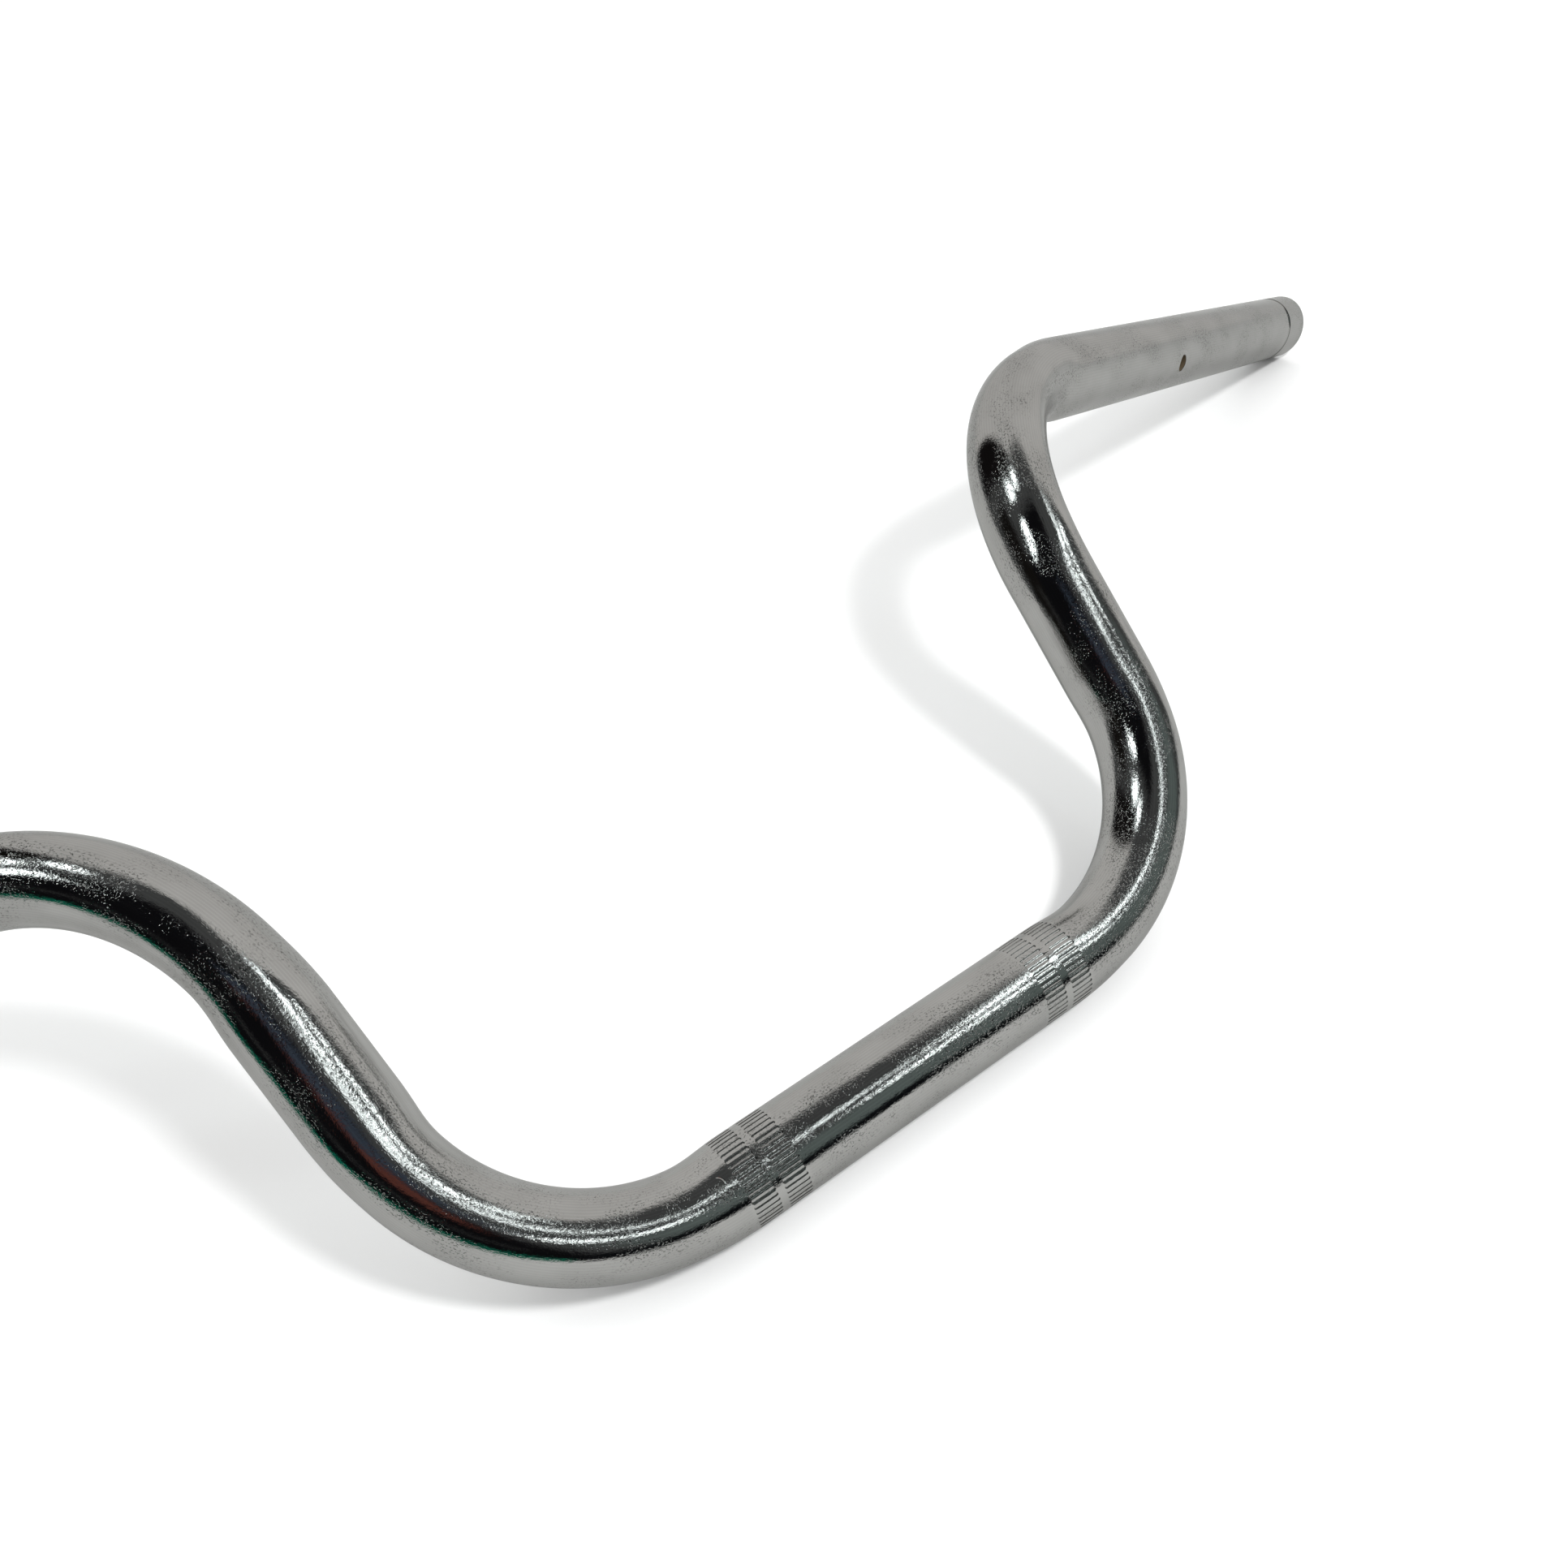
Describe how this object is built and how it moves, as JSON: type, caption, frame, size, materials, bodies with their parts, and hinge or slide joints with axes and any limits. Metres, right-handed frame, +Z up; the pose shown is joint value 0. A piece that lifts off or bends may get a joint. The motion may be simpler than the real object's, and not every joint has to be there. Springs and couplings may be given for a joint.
{
  "type": "motorcycle handlebar",
  "caption": "Chromed steel motorcycle handlebar, one bent tube with knurled clamp places, raised and swept-back grips, switch locating holes and weighted ends.",
  "frame": {"origin": "middle of the straight clamp section, on the tube's axis", "axes": "+X along the clamp section towards the rider's left end; +Z up from the flat surface that the bar lies on, front side up; +Y from the clamp section towards the grips"},
  "size_m": [0.7318, 0.2167, 0.0914],
  "materials": {
    "chrome_tube": "bright chrome plate over bent steel tube, faintly pitted, with fine scratches",
    "insert_steel": "turned steel, zinc plated",
    "weight_steel": "plain turned steel, lightly oiled",
    "ring_rubber": "matt black rubber"
  },
  "bodies": {
    "root": {"handlebar_tube": "chrome_tube", "end_insert_left": "insert_steel", "end_insert_right": "insert_steel", "damping_weight_left": "weight_steel", "damping_weight_right": "weight_steel", "ring_outer_left": "ring_rubber", "ring_outer_right": "ring_rubber", "ring_inner_left": "ring_rubber", "ring_inner_right": "ring_rubber"}
  },
  "joints": []
}
